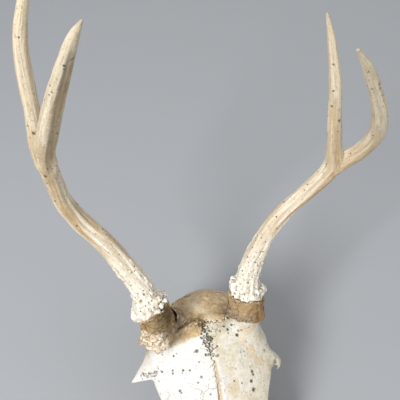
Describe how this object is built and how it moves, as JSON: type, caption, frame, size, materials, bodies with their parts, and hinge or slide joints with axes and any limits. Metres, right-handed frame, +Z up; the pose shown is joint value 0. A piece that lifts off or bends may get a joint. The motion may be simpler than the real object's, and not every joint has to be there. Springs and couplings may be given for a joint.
{
  "type": "deer skull with antlers",
  "caption": "Weathered skull of a young forkhorn deer without its lower jaw: bleached forehead, browned braincase, forked antlers on knobbly burrs, and cuffs of dried hide round the pedicles.",
  "frame": {"origin": "middle of the base of the whole outline, on the level the cheek teeth stand on", "axes": "+X to the animal's left, +Y towards the back of the head, +Z up from the cheek teeth"},
  "size_m": [0.1859, 0.2886, 0.3333],
  "materials": {
    "bone": "dry bleached bone, matt",
    "browned_bone": "dry bone browned by soil, matt",
    "antler": "weathered antler, faint satin on the tines",
    "dried_hide": "dried hide, wrinkled and matt"
  },
  "bodies": {
    "root": {"premaxilla_left": "bone", "premaxilla_right": "bone", "nasal_left": "bone", "nasal_right": "bone", "maxilla_left": "bone", "maxilla_right": "bone", "lacrimal_left": "bone", "lacrimal_right": "bone", "zygomatic_left": "bone", "zygomatic_right": "bone", "frontal_left": "bone", "frontal_right": "bone", "parietal": "browned_bone", "temporal_left": "bone", "temporal_right": "bone", "occipital": "bone", "skull_base": "bone", "dried_hide_left": "dried_hide", "dried_hide_right": "dried_hide", "antler_beam_left": "antler", "antler_beam_right": "antler", "antler_front_tine_left": "antler", "antler_front_tine_right": "antler", "antler_rear_tine_left": "antler", "antler_rear_tine_right": "antler"}
  },
  "joints": []
}
